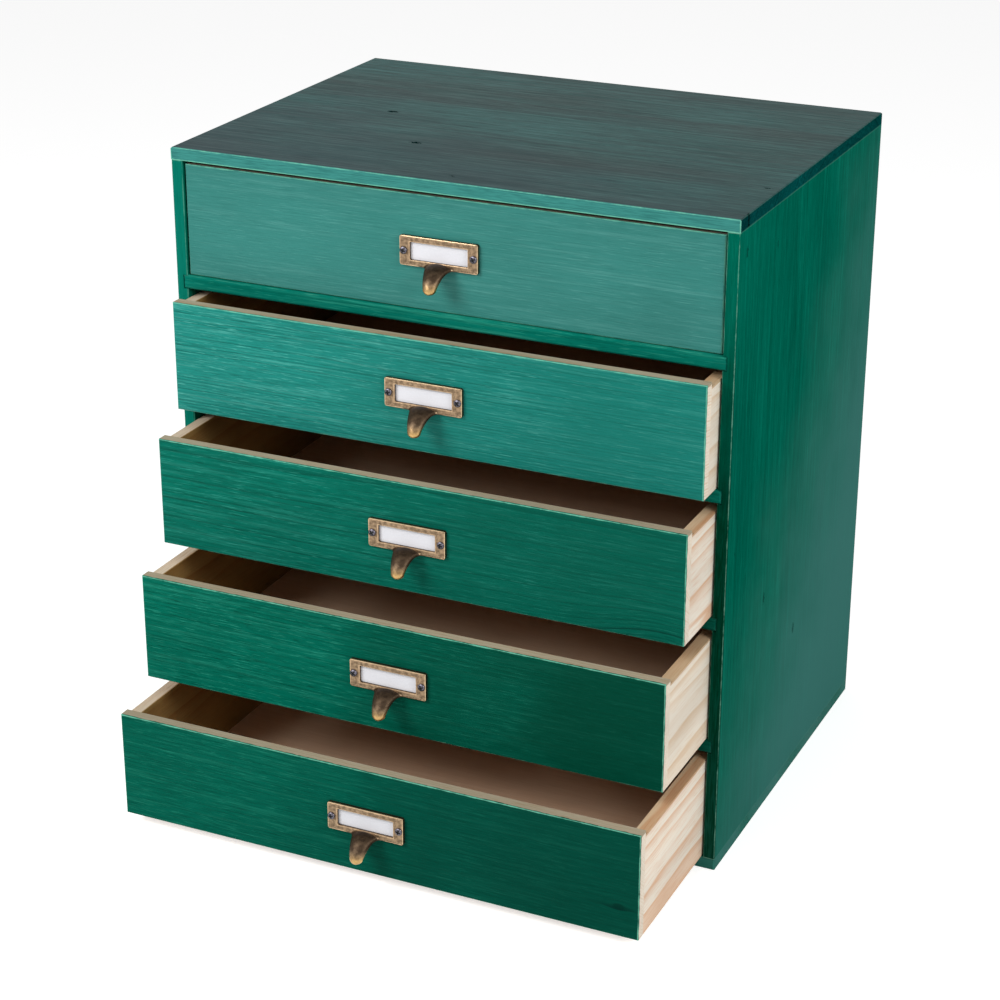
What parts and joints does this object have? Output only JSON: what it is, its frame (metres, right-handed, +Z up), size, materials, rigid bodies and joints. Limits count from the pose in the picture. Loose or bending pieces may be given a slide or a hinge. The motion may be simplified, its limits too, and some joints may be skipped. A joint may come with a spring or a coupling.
{
  "type": "stamp storage drawer cabinet",
  "caption": "Table-top wooden cabinet of shallow sliding drawers for craft stamps, stained green, with cast label-holder pulls.",
  "frame": {"origin": "middle of the cabinet's footprint, on the surface that it stands on", "axes": "+Z up, -Y out of the cabinet's front, the way the drawers open, +X to the right seen from the front"},
  "size_m": [0.43, 0.4578, 0.4866],
  "materials": {
    "stained_wood": "green stain, satin",
    "raw_wood": "sanded softwood",
    "plywood": "thin plywood, unfinished",
    "antique_brass": "antique, satin",
    "black_metal": "black",
    "steel": "plain",
    "paper": "matte card"
  },
  "bodies": {
    "cabinet": {"top_board": "stained_wood", "bottom_board": "stained_wood", "left_side": "stained_wood", "right_side": "stained_wood", "shelf_1": "stained_wood", "shelf_2": "stained_wood", "shelf_3": "stained_wood", "shelf_4": "stained_wood", "back_panel": "plywood", "back_brads": "steel", "cabinet_brads": "steel"},
    "drawer_1": {"drawer_1_front": "stained_wood", "drawer_1_left_side": "raw_wood", "drawer_1_right_side": "raw_wood", "drawer_1_back": "raw_wood", "drawer_1_bottom_panel": "plywood", "drawer_1_brads": "steel", "drawer_1_pull": "antique_brass", "drawer_1_pull_screws": "black_metal", "drawer_1_label_card": "paper"},
    "drawer_2": {"drawer_2_front": "stained_wood", "drawer_2_left_side": "raw_wood", "drawer_2_right_side": "raw_wood", "drawer_2_back": "raw_wood", "drawer_2_bottom_panel": "plywood", "drawer_2_brads": "steel", "drawer_2_pull": "antique_brass", "drawer_2_pull_screws": "black_metal", "drawer_2_label_card": "paper"},
    "drawer_3": {"drawer_3_front": "stained_wood", "drawer_3_left_side": "raw_wood", "drawer_3_right_side": "raw_wood", "drawer_3_back": "raw_wood", "drawer_3_bottom_panel": "plywood", "drawer_3_brads": "steel", "drawer_3_pull": "antique_brass", "drawer_3_pull_screws": "black_metal", "drawer_3_label_card": "paper"},
    "drawer_4": {"drawer_4_front": "stained_wood", "drawer_4_left_side": "raw_wood", "drawer_4_right_side": "raw_wood", "drawer_4_back": "raw_wood", "drawer_4_bottom_panel": "plywood", "drawer_4_brads": "steel", "drawer_4_pull": "antique_brass", "drawer_4_pull_screws": "black_metal", "drawer_4_label_card": "paper"},
    "drawer_5": {"drawer_5_front": "stained_wood", "drawer_5_left_side": "raw_wood", "drawer_5_right_side": "raw_wood", "drawer_5_back": "raw_wood", "drawer_5_bottom_panel": "plywood", "drawer_5_brads": "steel", "drawer_5_pull": "antique_brass", "drawer_5_pull_screws": "black_metal", "drawer_5_label_card": "paper"}
  },
  "joints": [
    {"name": "drawer_1_slide", "type": "slide", "parent": "cabinet", "child": "drawer_1", "axis": [0, -1, 0], "range_m": [0, 0.23]},
    {"name": "drawer_2_slide", "type": "slide", "parent": "cabinet", "child": "drawer_2", "axis": [0, -1, 0], "range_m": [-0.026, 0.204]},
    {"name": "drawer_3_slide", "type": "slide", "parent": "cabinet", "child": "drawer_3", "axis": [0, -1, 0], "range_m": [-0.054, 0.176]},
    {"name": "drawer_4_slide", "type": "slide", "parent": "cabinet", "child": "drawer_4", "axis": [0, -1, 0], "range_m": [-0.086, 0.144]},
    {"name": "drawer_5_slide", "type": "slide", "parent": "cabinet", "child": "drawer_5", "axis": [0, -1, 0], "range_m": [-0.124, 0.106]}
  ]
}
